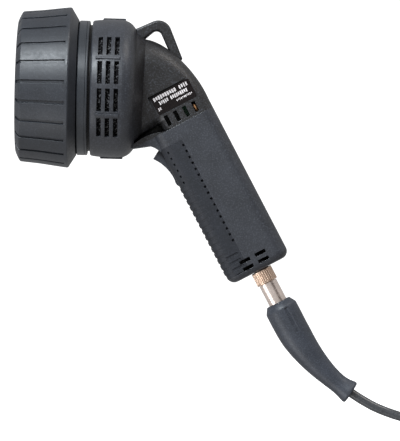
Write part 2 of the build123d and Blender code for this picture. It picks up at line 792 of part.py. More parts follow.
with BuildPart() as supply_ring:
    with BuildSketch(plug_plane.offset(supply_ring_start)):
        Circle(ring_radius)
        Circle(ring_bore, mode=Mode.SUBTRACT)
    extrude(amount=plug_stages["ring"])
    chamfer(supply_ring.edges().filter_by(GeomType.CIRCLE).filter_by(lambda e: e.radius > 7), 0.5)
    with BuildSketch(plug_plane.offset(supply_ring_start + 1.2)):
        with PolarLocations(ring_radius + 0.15, knurl_count):
            Circle(0.5)
    extrude(amount=plug_stages["ring"] - 2.4, mode=Mode.SUBTRACT)
save(supply_ring, "supply_ring")

# ---- tie round the coil, where the last turn lies on top of it ----
tie_width = 11.0
tie_angle = 60.0
tie_low = floor_height + tie_thickness
tie_in = coil_inner - 0.7
tie_out = outer_turn + cord_diameter / 2
tie_hump = tail_circle * cos(radians(15)) + 0.6
tie_section = Plane(origin=(coil_x, coil_y, 0), x_dir=(cos(radians(tie_angle)), sin(radians(tie_angle)), 0),
                    z_dir=(sin(radians(tie_angle)), -cos(radians(tie_angle)), 0))
hump_top = coil_top + cord_diameter + 0.1
tie_corners = ((tie_in, tie_low), (tie_out, tie_low), (tie_out, coil_top - 1), (tie_hump + 5, hump_top),
               (tie_hump - 5, hump_top), (tie_in, coil_top - 1))
with BuildPart() as cord_tie:
    with BuildSketch(tie_section):
        with BuildLine():
            Polyline(*tie_corners, close=True)
        make_face()
        offset(amount=tie_thickness, kind=Kind.INTERSECTION)
        with BuildLine():
            Polyline(*tie_corners, close=True)
        make_face(mode=Mode.SUBTRACT)
    extrude(amount=tie_width / 2, both=True)
save(cord_tie, "cord_tie")
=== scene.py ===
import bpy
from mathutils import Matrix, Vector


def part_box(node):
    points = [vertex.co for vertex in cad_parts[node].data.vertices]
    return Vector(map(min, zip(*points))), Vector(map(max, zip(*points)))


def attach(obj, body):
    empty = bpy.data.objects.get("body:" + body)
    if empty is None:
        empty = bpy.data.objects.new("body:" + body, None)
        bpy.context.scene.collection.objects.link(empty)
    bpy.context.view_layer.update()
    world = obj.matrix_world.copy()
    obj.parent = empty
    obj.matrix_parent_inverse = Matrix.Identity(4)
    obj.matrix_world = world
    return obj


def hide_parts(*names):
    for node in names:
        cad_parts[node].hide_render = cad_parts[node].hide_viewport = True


bl_info = {
    "name": "Inspection Lamp",
    "version": (1, 0, 0),
    "blender": (4, 5, 0),
    "location": "View3D > Sidebar > Lamp",
    "description": "Builds the looks of a hand-held inspection lamp around its CAD frame",
    "category": "Object",
}

from math import atan2, cos, pi, radians, sin

import bmesh
import bpy
from mathutils import Matrix, Vector

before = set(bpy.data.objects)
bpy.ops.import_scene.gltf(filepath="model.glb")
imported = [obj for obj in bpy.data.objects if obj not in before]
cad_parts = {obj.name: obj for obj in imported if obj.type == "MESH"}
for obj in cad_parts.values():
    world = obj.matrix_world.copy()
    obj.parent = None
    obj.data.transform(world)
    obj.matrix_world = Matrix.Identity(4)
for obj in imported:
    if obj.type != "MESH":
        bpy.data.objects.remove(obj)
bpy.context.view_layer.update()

# ---- the lamp's own frame: millimetres in, metres out ----
MM = 0.001
GRIP_ANGLE = radians(61.0)
DOWN = Vector((cos(GRIP_ANGLE), 0, -sin(GRIP_ANGLE)))
FRONT = Vector((-sin(GRIP_ANGLE), 0, -cos(GRIP_ANGLE)))
ACROSS = Vector((0, 1, 0))
FORWARD = Vector((-1, 0, 0))
ELBOW = DOWN * -85.0


def beside_handle(offset, distance, across=0.0):
    """Point at an offset from the handle's axis and a distance down it."""
    return (ELBOW + FRONT * offset + DOWN * distance + ACROSS * across) * MM


# ---- the boot and the lead, in millimetres ----
BEND_START = 198.0
BEND_RADIUS = 139.0
BEND_TURN = radians(28.5)
FLOOR = -174.4
TIE_THICKNESS = 0.9
CORD = 7.0
EXIT_RUN = 16
COIL_CENTRE = Vector((194.0, 36.0, 0))
# angle at which every turn starts, in degrees
COIL_START = -90
TURN_RADII = (45.5, 38.5, 31.5)
# how far each step of a turn has moved on towards the next turn
STEP_ASIDE = (0.0,) * 9 + (0.15, 0.5, 0.85)
LAYERS = [FLOOR + TIE_THICKNESS + CORD * (layer + 0.5) for layer in range(3)]
PLUG_HEIGHT = -151.3
PLUG_X = 154.88


def on_bend(length):
    """Point and heading on the arc of the strain relief, in millimetres."""
    turn = length / BEND_RADIUS
    start = ELBOW + DOWN * BEND_START
    point = start + (DOWN * sin(turn) - FRONT * (1 - cos(turn))) * BEND_RADIUS
    return point, DOWN * cos(turn) - FRONT * sin(turn)


def on_coil(angle, radius, height):
    """Point of a turn, by its angle about the coil's middle."""
    turn = radians(angle)
    return COIL_CENTRE + Vector((radius * cos(turn), radius * sin(turn), height))


# ---- building blocks for meshes ----
def round_edges(bm, edges, width):
    """Rounds edges off over a width in millimetres."""
    bmesh.ops.bevel(bm, geom=edges, offset=width * MM, offset_type="OFFSET", segments=2, profile=0.5,
                    affect="EDGES", material=-1, clamp_overlap=True)


def spun(profile, steps, origin, axis, start):
    """Surface of revolution from (station, radius) corners along an axis, in millimetres."""
    bm = bmesh.new()
    verts = [bm.verts.new((origin + axis * station + start * radius) * MM) for station, radius in profile]
    edges = [bm.edges.new(pair) for pair in zip(verts, verts[1:])]
    bmesh.ops.spin(bm, geom=verts + edges, cent=origin * MM, axis=axis, angle=2 * pi, steps=steps,
                   use_merge=True, use_duplicate=False)
    bmesh.ops.remove_doubles(bm, verts=bm.verts, dist=0.00001)
    bmesh.ops.recalc_face_normals(bm, faces=bm.faces)
    return bm


def ring_matrix(point, heading, radius):
    """Places a unit circle square to a heading, with its radius in millimetres."""
    up = ACROSS.cross(heading).normalized()
    turn = Matrix((up * radius * MM, ACROSS * radius * MM, heading * MM)).transposed().to_4x4()
    return Matrix.Translation(point * MM) @ turn


def swept(rings, segments):
    """Closed skin through (point, heading, radius) rings, made by extruding one circle."""
    bm = bmesh.new()
    current = ring_matrix(*rings[0])
    loop = bmesh.ops.create_circle(bm, segments=segments, radius=1.0, cap_ends=True)["verts"]
    bmesh.ops.transform(bm, matrix=current, verts=loop)
    edges = [e for e in bm.edges if len(e.link_faces) == 1]
    for ring in rings[1:]:
        made = bmesh.ops.extrude_edge_only(bm, edges=edges)["geom"]
        verts = [g for g in made if isinstance(g, bmesh.types.BMVert)]
        edges = [g for g in made if isinstance(g, bmesh.types.BMEdge)]
        wanted = ring_matrix(*ring)
        bmesh.ops.transform(bm, matrix=wanted @ current.inverted(), verts=verts)
        current = wanted
    bmesh.ops.contextual_create(bm, geom=edges)
    bmesh.ops.recalc_face_normals(bm, faces=bm.faces)
    return bm


def block(bm, offsets, distances, across):
    """Adds a box beside the handle, between pairs of values in millimetres."""
    verts = bmesh.ops.create_cube(bm, size=1.0)["verts"]
    centre = beside_handle(sum(offsets) / 2, sum(distances) / 2, sum(across) / 2)
    sides = [FRONT * (offsets[1] - offsets[0]) * MM, DOWN * (distances[1] - distances[0]) * MM,
             ACROSS * (across[1] - across[0]) * MM]
    place = Matrix.Translation(centre) @ Matrix(sides).transposed().to_4x4()
    bmesh.ops.transform(bm, matrix=place, verts=verts)


def mesh_object(name, bm, finish):
    """Makes a smooth object from a bmesh, with one finish."""
    mesh = bpy.data.meshes.new(name)
    bm.to_mesh(mesh)
    bm.free()
    for polygon in mesh.polygons:
        polygon.use_smooth = True
    mesh.materials.append(finish)
    thing = bpy.data.objects.new(name, mesh)
    bpy.context.scene.collection.objects.link(thing)
    return thing


def add_piece(name, bm, body, finish, smooth_angle=30.0):
    """Turns a bmesh into a piece that rides on a body, with its sharper edges kept."""
    piece = mesh_object(name, bm, finish)
    piece.data.set_sharp_from_angle(angle=radians(smooth_angle))
    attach(piece, body)
    return piece


def coat(finish, *nodes):
    """Gives CAD nodes a finish."""
    for node in nodes:
        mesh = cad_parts[node].data
        mesh.materials.clear()
        mesh.materials.append(finish)


# ---- finishes ----
# sockets of the colour mix node, whose names repeat for each type of data
MIX_FACTOR, MIX_FIRST, MIX_SECOND = 0, 6, 7
MIX_RESULT = 2


def lightened(colour, gain, lift=0.0):
    """Paler colour, no brighter than white."""
    return [min(1.0, c * gain + lift) for c in colour]


class Finish:
    """A material with a Principled shader, and short ways to wire it."""

    def __init__(self, name):
        self.material = bpy.data.materials.new(name)
        self.material.use_nodes = True
        self.tree = self.material.node_tree
        self.tree.nodes.clear()
        self.output = self.add("ShaderNodeOutputMaterial")
        self.shader = self.add("ShaderNodeBsdfPrincipled")
        self.join(self.shader, "BSDF", self.output, "Surface")
        self.place = self.add("ShaderNodeTexCoord")

    def add(self, kind, **settings):
        node = self.tree.nodes.new(kind)
        for key, value in settings.items():
            setattr(node, key, value)
        return node

    def join(self, source, output, target, socket):
        self.tree.links.new(source.outputs[output], target.inputs[socket])

    def noise(self, scale, detail=3.0, roughness=0.5):
        """Noise on the piece's own coordinates, with the number of lumps per metre."""
        node = self.add("ShaderNodeTexNoise")
        node.inputs["Scale"].default_value = scale
        node.inputs["Detail"].default_value = detail
        node.inputs["Roughness"].default_value = roughness
        self.join(self.place, "Object", node, "Vector")
        return node

    def span(self, source, output, low, high, to_low, to_high):
        """Turns the values from low to high into those from to_low to to_high."""
        node = self.add("ShaderNodeMapRange")
        for socket, value in zip(("From Min", "From Max", "To Min", "To Max"), (low, high, to_low, to_high)):
            node.inputs[socket].default_value = value
        self.join(source, output, node, "Value")
        return node

    def product(self, first, second):
        """Multiplies the first outputs of two nodes."""
        node = self.add("ShaderNodeMath", operation="MULTIPLY")
        self.join(first, 0, node, 0)
        self.join(second, 0, node, 1)
        return node

    def blend(self, factor, first, second):
        """Mixes two colours by a node's first output; either may be a mix node."""
        node = self.add("ShaderNodeMix", data_type="RGBA")
        self.join(factor, 0, node, MIX_FACTOR)
        for socket, colour in ((MIX_FIRST, first), (MIX_SECOND, second)):
            if isinstance(colour, bpy.types.Node):
                self.join(colour, MIX_RESULT, node, socket)
            else:
                node.inputs[socket].default_value = (*colour, 1.0)
        return node

    def patches(self, source, low, high, most, first, second):
        """Mixes two colours where a noise passes from low to high, by at most a share."""
        return self.blend(self.span(source, "Fac", low, high, 0.0, most), first, second)

    def colour_from(self, node):
        self.join(node, MIX_RESULT, self.shader, "Base Color")

    def roughness_from(self, source, low, high, smooth, rough):
        self.join(self.span(source, "Fac", low, high, smooth, rough), "Result", self.shader, "Roughness")

    def soft_normal(self, radius, height, depth, strength):
        """Rounds the edges in shading, with a height field on top."""
        rounding = self.add("ShaderNodeBevel", samples=4)
        rounding.inputs["Radius"].default_value = radius * MM
        bump = self.add("ShaderNodeBump")
        bump.inputs["Distance"].default_value = depth * MM
        bump.inputs["Strength"].default_value = strength
        self.join(height, "Fac", bump, "Height")
        self.join(rounding, "Normal", bump, "Normal")
        self.join(bump, "Normal", self.shader, "Normal")
        return rounding

    def painted_corner_shade(self, base, reach, darkest_painted_shade, gloss_level):
        """Painted shade: darkens the colour and the gloss in recesses and corners, by how enclosed they are.
        """
        hollow = self.add("ShaderNodeAmbientOcclusion", samples=6)
        hollow.inputs["Distance"].default_value = reach * MM
        # painted shade: the colour darkens and the gloss fades where the occlusion is deep
        level = self.span(hollow, "AO", 0.1, 0.65, darkest_painted_shade, 1.0)
        shine = self.span(hollow, "AO", 0.2, 0.7, 0.0, gloss_level)
        self.join(shine, "Result", self.shader, "Specular IOR Level")
        node = self.add("ShaderNodeMix", data_type="RGBA", blend_type="MULTIPLY")
        node.inputs[MIX_FACTOR].default_value = 1.0
        self.join(base, MIX_RESULT, node, MIX_FIRST)
        self.join(level, "Result", node, MIX_SECOND)
        return node

    def zone(self, limits):
        """1 within every (direction, limit, softness), 0 beyond any of them; in millimetres."""
        result = None
        for direction, limit, softness in limits:
            along = self.add("ShaderNodeVectorMath", operation="DOT_PRODUCT")
            along.inputs[1].default_value = direction
            self.join(self.place, "Object", along, 0)
            edge = (limit + ELBOW.dot(direction)) * MM
            inside = self.span(along, "Value", edge, edge + softness * MM, 1.0, 0.0)
            result = inside if result is None else self.product(result, inside)
        return result

    def worn_and_highlit_edges(self, rounding, base, pale, amount):
        """Lightens the edges, in patches, where the rounded normal leaves the true one: partly wear, partly
        painted highlight.
        """
        geometry = self.add("ShaderNodeNewGeometry")
        likeness = self.add("ShaderNodeVectorMath", operation="DOT_PRODUCT")
        self.join(geometry, "Normal", likeness, 0)
        self.join(rounding, "Normal", likeness, 1)
        edge = self.span(likeness, "Value", 0.995, 0.86, 0.0, amount)
        patchy = self.span(self.noise(420, 2.0), "Fac", 0.35, 0.6, 0.25, 1.0)
        return self.blend(self.product(edge, patchy), base, pale)


def moulded(name, colour, roughness, grain=1800, depth=0.05, strength=0.5, rounding=0.5, wear_and_highlight=0.5,
            spread=0.18, gloss_level=0.42, painted_shade_zone=None, reach=6.0, darkest_painted_shade=0.25):
    """Moulded plastic or rubber: clouded colour, fine grain, uneven gloss, pale edges of wear and painted
    highlight, and painted shade in corners and in an optional zone.
    """
    finish = Finish(name)
    dark = [c * (1 - spread) for c in colour]
    light = [c * (1 + spread) for c in colour]
    base = finish.patches(finish.noise(55, 4.0, 0.6), 0.35, 0.65, 1.0, dark, light)
    # painted shade: a zone of the surface painted in a darker colour
    if painted_shade_zone is not None:
        base = finish.blend(finish.zone(painted_shade_zone["limits"]), base, painted_shade_zone["colour"])
    grains = finish.noise(grain, 2.0, 0.6)
    specks = finish.patches(grains, 0.5, 0.72, 0.6, base, lightened(colour, 2.6, 0.012))
    rounded = finish.soft_normal(rounding, grains, depth, strength)
    # pale edges: partly wear, partly painted highlight
    worn_and_highlit = finish.worn_and_highlit_edges(rounded, specks, lightened(colour, 2.6, 0.03), wear_and_highlight)
    finish.colour_from(finish.painted_corner_shade(worn_and_highlit, reach, darkest_painted_shade, gloss_level))
    finish.roughness_from(finish.noise(420, 2.0), 0.3, 0.7, roughness - 0.04, roughness + 0.05)
    return finish.material


def metal(name, colour, roughness, grain=900, wear_and_highlight=0.3, rounding=0.25):
    """Plated or plain metal: fine grain, tarnish in patches, and bright edges of wear and painted highlight.
    """
    finish = Finish(name)
    base = finish.patches(finish.noise(90), 0.38, 0.66, 1.0, colour, [c * 0.84 for c in colour])
    grains = finish.noise(grain, 2.0)
    rounded = finish.soft_normal(rounding, grains, 0.002, 0.15)
    finish.colour_from(finish.worn_and_highlit_edges(rounded, base, lightened(colour, 1.25), wear_and_highlight))
    finish.roughness_from(grains, 0.3, 0.7, roughness - 0.05, roughness + 0.08)
    finish.shader.inputs["Metallic"].default_value = 1.0
    return finish.material


def open_foam(name, colour, speck):
    """Coarse open-cell foam with a few pale specks."""
    finish = Finish(name)
    cells = finish.noise(1000, 1.5, 0.6)
    base = finish.patches(cells, 0.42, 0.56, 1.0, [c * 0.05 for c in colour], colour)
    finish.colour_from(finish.patches(finish.noise(800, 1.0, 0.4), 0.56, 0.66, 1.0, base, speck))
    finish.soft_normal(0.2, cells, 0.6, 1.0)
    finish.roughness_from(cells, 0.3, 0.7, 0.8, 1.0)
    finish.shader.inputs["Specular IOR Level"].default_value = 0.08
    return finish.material


def dark_glass(name, colour):
    """Filter glass: a dark tint, a smooth face and faint smears."""
    finish = Finish(name)
    smears = finish.noise(60, 4.0, 0.6)
    finish.colour_from(finish.patches(smears, 0.4, 0.7, 1.0, colour, lightened(colour, 1.3)))
    finish.roughness_from(smears, 0.4, 0.7, 0.03, 0.12)
    finish.soft_normal(0.3, finish.noise(35, 1.0), 0.02, 0.2)
    finish.shader.inputs["Transmission Weight"].default_value = 0.85
    finish.shader.inputs["IOR"].default_value = 1.5
    return finish.material


# ---- settings that a user would change ----
def colour_setting(name, description, default):
    """A colour that the panel shows."""
    return bpy.props.FloatVectorProperty(name=name, description=description, default=default, size=3, min=0,
                                         max=1, subtype="COLOR")


def length_setting(name, description, default):
    """A length in metres that the panel shows."""
    return bpy.props.FloatProperty(name=name, description=description, default=default, unit="LENGTH")


class LampColours(bpy.types.PropertyGroup):
    shell: colour_setting("Housing", "Colour of the housing halves", (0.022, 0.024, 0.030))
    rubber: colour_setting("Bumper", "Colour of the rubber bumper", (0.015, 0.0175, 0.023))
    collar: colour_setting("Collar", "Colour of the smooth ring behind the bumper", (0.017, 0.020, 0.025))
    pad: colour_setting("Grip pad", "Colour of the ribbed grip pad", (0.0075, 0.009, 0.0135))
    boot: colour_setting("Boot", "Colour of the strain relief", (0.030, 0.034, 0.044))
    lead: colour_setting("Lead", "Colour of the lead's sheath", (0.030, 0.032, 0.036))
    ring: colour_setting("Lock ring", "Plating of the knurled ring", (0.78, 0.58, 0.45))
    barrel: colour_setting("Plug barrel", "Plating of the plug's barrel", (0.95, 0.82, 0.75))
    print_tone: colour_setting("Label print", "Tone of the pale ticks on the label", (0.52, 0.48, 0.48))
    glass: colour_setting("Filter glass", "Tint of the lens", (0.16, 0.10, 0.30))


class LampSizes(bpy.types.PropertyGroup):
    panel_count: bpy.props.IntProperty(name="Bumper panels", description="Panels round the bumper",
                                       default=24, min=8, max=48)
    groove_depth: length_setting("Groove depth", "Depth of the grooves between the panels", 1.2 * MM)
    lead_diameter: length_setting("Lead diameter", "Diameter of the lead", CORD * MM)
    lead_length: length_setting("Lead length", "Length of the lead from the boot to the supply plug", 1.70)
    print_height: length_setting("Print height", "Height that the label's print stands proud", 0.06 * MM)


class StageSettings(bpy.types.PropertyGroup):
    distance: length_setting("Camera distance", "Distance of the camera from the lamp's middle plane", 3.0)
    focal_length: bpy.props.FloatProperty(name="Focal length", description="Focal length in millimetres",
                                          default=326.5, min=20)
    roll: bpy.props.FloatProperty(name="Roll", description="Turn of the camera about its line of sight",
                                  default=radians(-1.5), subtype="ANGLE")
    floor_tone: colour_setting("Floor", "Tone of the floor and backdrop", (0.93, 0.93, 0.93))
    key_power: bpy.props.FloatProperty(name="Key power", default=88.0, min=0,
                                       description="Power of the main soft light, in watts")
    top_power: bpy.props.FloatProperty(name="Top power", description="Power of the light overhead, in watts",
                                       default=12.0, min=0)
    bounce_power: bpy.props.FloatProperty(name="Bounce power", description="Power of the light from below, "
                                          "which stands for light off a white table, in watts", default=24.0,
                                          min=0)
    sky: bpy.props.FloatProperty(name="Surround", description="Brightness of the even light from all round",
                                 default=0.5, min=0)
    floor_glow: bpy.props.FloatProperty(name="Backdrop glow", default=0.75, min=0,
                                        description="Own light of the floor and backdrop")
    wall_radius: length_setting("Wall radius", "Distance of the backdrop's wall from the lamp", 9.0)
    wall_bend: length_setting("Wall bend", "Radius of the bend between the floor and the wall", 2.0)
    wall_height: length_setting("Wall height", "Height of the backdrop's wall", 7.0)


# ---- the stage, in metres ----
VIEW_CENTRE = Vector((-0.0143, 0, -0.0228))
SENSOR_WIDTH = 36.0
FARTHEST_SEEN = 50.0
LIT_POINT = Vector((-0.05, 0, 0.02))
CARD_SIZE = (1.9, 1.2, 1)
CARD_TURN = radians(-40)
CARD_PLACE = (1.5, -1.5, 0.1)
WALL_BEND_STEPS = 16
FLOOR_STEPS = 96


def aim(thing, target):
    """Turns a light towards a point."""
    thing.rotation_euler = (target - thing.location).to_track_quat("-Z", "Y").to_euler()


class LAMP_OT_stage(bpy.types.Operator):
    """Adds the camera, the lights, the dark card, the floor and the backdrop"""
    bl_idname = "lamp.stage"
    bl_label = "Stage"

    def execute(self, context):
        scene = context.scene
        settings = scene.lamp_stage
        scene.view_settings.view_transform = "Standard"
        self.add_camera(scene, settings)
        self.add_lights(scene, settings)
        self.add_card()
        self.add_floor(settings)
        return {"FINISHED"}

    def add_camera(self, scene, settings):
        camera = bpy.data.objects.new("camera", bpy.data.cameras.new("camera"))
        scene.collection.objects.link(camera)
        camera.data.lens = settings.focal_length
        camera.data.sensor_width = SENSOR_WIDTH
        camera.data.clip_end = FARTHEST_SEEN
        camera.location = VIEW_CENTRE - ACROSS * settings.distance
        camera.rotation_euler = (radians(90), settings.roll, 0)
        scene.camera = camera

    def add_lights(self, scene, settings):
        """Even light from all round, and three square soft lights."""
        world = bpy.data.worlds.new("surround")
        world.use_nodes = True
        surround = world.node_tree.nodes["Background"]
        surround.inputs["Color"].default_value = (1, 1, 1, 1)
        surround.inputs["Strength"].default_value = settings.sky
        scene.world = world
        for name, place, size, power, colour in (
                ("key_light", (-1.0, -1.9, 1.75), 0.6, settings.key_power, (0.88, 0.95, 1.0)),
                ("top_light", (1.2, -0.5, 1.9), 0.7, settings.top_power, (1.0, 0.95, 0.9)),
                ("bounce_light", (-1.5, -1.2, -1.6), 1.2, settings.bounce_power, (0.97, 0.98, 1.0))):
            light = bpy.data.objects.new(name, bpy.data.lights.new(name, "AREA"))
            scene.collection.objects.link(light)
            light.data.shape = "SQUARE"
            light.data.size = size
            light.data.energy = power
            light.data.color = colour
            light.location = place
            aim(light, LIT_POINT)

    def add_card(self):
        """Dark card in front of the lamp, hidden from the camera, which gives the flanks contrast."""
        bm = bmesh.new()
        corners = bmesh.ops.create_grid(bm, x_segments=4, y_segments=4, size=0.5)["verts"]
        bmesh.ops.scale(bm, vec=CARD_SIZE, verts=corners)
        for turn, axis in ((radians(90), "Y"), (CARD_TURN, "Z")):
            bmesh.ops.rotate(bm, cent=(0, 0, 0), matrix=Matrix.Rotation(turn, 3, axis), verts=corners)
        bmesh.ops.translate(bm, vec=CARD_PLACE, verts=corners)
        felt = Finish("card_felt")
        felt.colour_from(felt.blend(felt.noise(8.0), (0.05, 0.035, 0.03), (0.06, 0.045, 0.04)))
        felt.shader.inputs["Roughness"].default_value = 0.95
        card = mesh_object("dark_card", bm, felt.material)
        card.visible_camera = False

    def add_floor(self, settings):
        """Round floor that curves up into a wall, hidden from diffuse, glossy and shadow rays."""
        turns = [pi / 2 * step / WALL_BEND_STEPS for step in range(WALL_BEND_STEPS + 1)]
        bend = [(settings.wall_radius - settings.wall_bend * (1 - sin(turn)),
                 settings.wall_bend * (1 - cos(turn))) for turn in turns]
        profile = [(0.0, 0.0)] + bend + [(settings.wall_radius, settings.wall_height)]
        bm = spun([(up / MM, out / MM) for out, up in profile], FLOOR_STEPS, Vector((0, 0, FLOOR)),
                  Vector((0, 0, 1)), Vector((1, 0, 0)))
        paint = Finish("backdrop_paint")
        tone = list(settings.floor_tone)
        paint.colour_from(paint.blend(paint.noise(3.0, 2.0), tone, [c * 1.01 for c in tone]))
        paint.shader.inputs["Roughness"].default_value = 0.9
        paint.shader.inputs["Specular IOR Level"].default_value = 0.1
        paint.shader.inputs["Emission Color"].default_value = (1, 1, 1, 1)
        paint.shader.inputs["Emission Strength"].default_value = settings.floor_glow
        floor = mesh_object("floor", bm, paint.material)
        floor.visible_diffuse = False
        floor.visible_glossy = False
        floor.visible_shadow = False


# ---- the lead ----
def lead_route():
    """Control points of the lead from the boot to the supply plug, in millimetres."""
    exit_point, heading = on_bend(BEND_RADIUS * BEND_TURN)
    route = [exit_point, exit_point + heading * EXIT_RUN, Vector((132.5, -0.6, -164.0)),
             Vector((151.5, -3.4, -168.7)), Vector((172.6, -8.2, -170.0))]
    # three turns inwards on the lower layer, three outwards on the upper one
    radii = TURN_RADII + TURN_RADII[::-1]
    heights = [LAYERS[0]] * 3 + [LAYERS[1]] * 3
    for turn, (radius, height) in enumerate(zip(radii, heights)):
        last = turn == len(radii) - 1
        next_radius = radius if last else radii[turn + 1]
        next_height = height if last else heights[turn + 1]
        for step, share in enumerate(STEP_ASIDE[:-1] if last else STEP_ASIDE):
            route.append(on_coil(COIL_START + 360 / len(STEP_ASIDE) * step,
                                 radius + (next_radius - radius) * share,
                                 height + (next_height - height) * share))
    # the last stretch rises onto the coil and runs to the plug
    for angle, radius, height in ((-97, 46.0, -162.0), (-72, 45.0, -158.8), (-45, 42.0, -156.2),
                                  (-15, 40.5, -156.0), (15, 40.5, -156.0), (45, 40.5, -156.0),
                                  (75, 40.5, -156.0), (105, 40.5, -156.0), (135, 40.5, -154.5),
                                  (165, 40.5, PLUG_HEIGHT)):
        route.append(on_coil(angle, radius, height))
    route.append(Vector((PLUG_X, 28.0, PLUG_HEIGHT)))
    return route


class LAMP_OT_lead(bpy.types.Operator):
    """Adds the lead, with its coil and the tie that holds it"""
    bl_idname = "lamp.lead"
    bl_label = "Lead"

    def execute(self, context):
        colours, sizes = context.scene.lamp_colours, context.scene.lamp_sizes
        sheath = moulded("lead_sheath", list(colours.lead), 0.3, grain=1200, depth=0.03, strength=0.3,
                         rounding=0.2, wear_and_highlight=0.1, gloss_level=0.7)
        route = lead_route()
        curve = bpy.data.curves.new("lead", "CURVE")
        curve.dimensions = "3D"
        spline = curve.splines.new("NURBS")
        spline.points.add(len(route) - 1)
        for point, place in zip(spline.points, route):
            point.co = (*(place * MM), 1.0)
        spline.order_u = 3
        spline.use_endpoint_u = True
        spline.resolution_u = 6
        curve.bevel_depth = sizes.lead_diameter / 2
        curve.bevel_resolution = 6
        curve.use_fill_caps = True
        curve.materials.append(sheath)
        lead = bpy.data.objects.new("lead", curve)
        context.scene.collection.objects.link(lead)
        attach(lead, "housing")
        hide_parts("power_cord", "cord_coil", "cord_tail")
        tie = self.make_tie()
        return {"FINISHED"}

    def make_tie(self):
        """Hook-and-loop strip round both layers of the coil and the part turn on top of them."""
        inner, outer = 27.5, 49.4
        low, high = FLOOR + TIE_THICKNESS / 2, LAYERS[2] + CORD / 2 + TIE_THICKNESS
        width, corner, thickness, steps = 11.0, 3.0, 0.8, 4
        side = radians(60)
        bm = bmesh.new()
        square = bmesh.ops.create_grid(bm, x_segments=1, y_segments=1, size=0.5)["verts"]
        bmesh.ops.scale(bm, vec=((outer - inner) * MM, (high - low) * MM, 1), verts=square)
        bmesh.ops.bevel(bm, geom=square, offset=corner * MM, offset_type="OFFSET", segments=5, profile=0.5,
                        affect="VERTICES", material=-1)
        bmesh.ops.delete(bm, geom=bm.faces[:], context="FACES_ONLY")
        rim = bm.edges[:]
        for _ in range(steps):
            made = bmesh.ops.extrude_edge_only(bm, edges=rim)["geom"]
            rim = [g for g in made if isinstance(g, bmesh.types.BMEdge)]
            bmesh.ops.translate(bm, vec=(0, 0, width / steps * MM),
                                verts=[g for g in made if isinstance(g, bmesh.types.BMVert)])
        bmesh.ops.recalc_face_normals(bm, faces=bm.faces)
        bmesh.ops.solidify(bm, geom=bm.faces[:], thickness=thickness * MM)
        outwards, along = Vector((cos(side), sin(side), 0)), Vector((-sin(side), cos(side), 0))
        middle = COIL_CENTRE + outwards * (inner + outer) / 2 + Vector((0, 0, (low + high) / 2))
        place = Matrix.Translation((middle - along * width / 2) * MM)
        place = place @ Matrix((outwards, Vector((0, 0, 1)), along)).transposed().to_4x4()
        bmesh.ops.transform(bm, matrix=place, verts=bm.verts)
        bmesh.ops.recalc_face_normals(bm, faces=bm.faces)
        strip = moulded("tie_fabric", (0.03, 0.03, 0.035), 0.85, grain=2600, depth=0.25, strength=1.0,
                        rounding=0.3, wear_and_highlight=0.4)
        tie = add_piece("lead_tie", bm, "housing", strip)
        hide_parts("cord_tie")
        return tie


# ---- the head ----
# (station, radius) corners of the bumper, in millimetres
BUMPER_PROFILE = ((108.6, 47.6), (109.6, 47.6), (109.6, 44.9), (110.0, 44.5), (112.0, 44.5), (112.5, 45.0),
                  (112.5, 49.5), (112.1, 50.6), (110.6, 53.8), (109.4, 55.8), (108.6, 56.3), (103.0, 56.8),
                  (96.0, 57.4), (90.0, 58.1), (84.0, 58.9), (75.6, 59.95), (74.9, 60.0), (73.8, 60.15),
                  (72.9, 59.8), (68.0, 51.8), (67.5, 51.0), (67.5, 48.0), (67.9, 47.6), (108.6, 47.6))
# angle of the first groove from the top, in degrees
FIRST_GROOVE = -2.0
PANEL_FACES = 11
GROOVE_FACES = 2
GROOVE_STATIONS = (75.5, 111.5)
GROOVE_INNER_RADIUS = 51.0
GROOVE_FLANK = 0.3
# the collar is painted black behind this station: painted shade in the gap before the housing
COLLAR_SHADE_END = 58.7


class LAMP_OT_bumper(bpy.types.Operator):
    """Adds the rubber bumper with its panels and grooves"""
    bl_idname = "lamp.bumper"
    bl_label = "Bumper"

    def execute(self, context):
        colours, sizes = context.scene.lamp_colours, context.scene.lamp_sizes
        first = radians(FIRST_GROOVE - 360 / sizes.panel_count / PANEL_FACES)
        start = Vector((0, -sin(first), cos(first)))
        bm = spun(BUMPER_PROFILE, sizes.panel_count * PANEL_FACES, ELBOW, FORWARD, start)
        step = 2 * pi / sizes.panel_count
        grooves = []
        for face in bm.faces:
            middle = face.calc_center_median() / MM - ELBOW
            radius = (middle.y ** 2 + middle.z ** 2) ** 0.5
            angle = (atan2(-middle.y, middle.z) - first) % step
            in_row = GROOVE_STATIONS[0] < middle.dot(FORWARD) < GROOVE_STATIONS[1]
            if in_row and radius > GROOVE_INNER_RADIUS and angle < step * GROOVE_FACES / PANEL_FACES:
                grooves.append(face)
        bmesh.ops.inset_region(bm, faces=grooves, thickness=GROOVE_FLANK * MM, depth=-sizes.groove_depth,
                               use_even_offset=True, use_boundary=True)
        # painted highlight on the groove edges and painted shade down in the grooves
        rubber = moulded("bumper_rubber", list(colours.rubber), 0.46, grain=1300, depth=0.03, strength=0.4,
                         rounding=0.4, wear_and_highlight=1.0, gloss_level=0.55, darkest_painted_shade=0.0, reach=5.0)
        piece = add_piece("bumper", bm, "housing", rubber, 24.0)
        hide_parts("bumper_ring")
        return {"FINISHED"}


